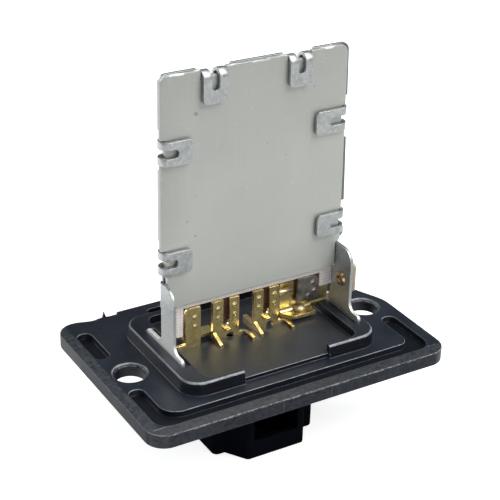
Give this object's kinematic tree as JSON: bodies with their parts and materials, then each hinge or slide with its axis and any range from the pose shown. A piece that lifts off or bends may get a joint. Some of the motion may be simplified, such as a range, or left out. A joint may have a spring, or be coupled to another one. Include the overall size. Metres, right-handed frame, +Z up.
{
  "type": "blower motor resistor",
  "caption": "Plate-type resistor card for a car heater blower: upright metal heat sink with folded tabs on a black flanged base with brass terminals and a latch socket below.",
  "frame": {"origin": "midway between the two screw holes, on the flat top face of the flange", "axes": "+X from the left screw hole to the right one, +Y from the latch side to the back, +Z up out of the flange's top face along the heat sink"},
  "size_m": [0.0695, 0.0468, 0.0815],
  "materials": {
    "moulding": "fine matte moulding, rubbed paler along its edges",
    "sheet_aluminium": "dull grey-green rolled sheet with faint vertical streaks",
    "plated_steel": "bright zinc plating, slightly mottled",
    "woven_insulation": "thin woven glass sheet",
    "resistor_sheet": "dark rolled alloy sheet",
    "stamped_brass": "stamped brass with coppery cut edges",
    "copper": "worn copper",
    "tan_strip": "pressed fibre strip",
    "leaf_steel": "spring leaf, heat-toned",
    "solder": "dull solder"
  },
  "bodies": {
    "root": {"base": "moulding", "front_plate": "sheet_aluminium", "back_plate": "plated_steel", "front_insulation": "woven_insulation", "rear_insulation": "woven_insulation", "resistor_element": "resistor_sheet", "ear_rivet": "copper", "ear_pad": "tan_strip", "terminal_1": "stamped_brass", "terminal_2": "stamped_brass", "terminal_3": "stamped_brass", "terminal_4": "stamped_brass", "fuse_leaf": "leaf_steel", "fuse_solder": "solder", "fuse_lead": "copper"}
  },
  "joints": []
}
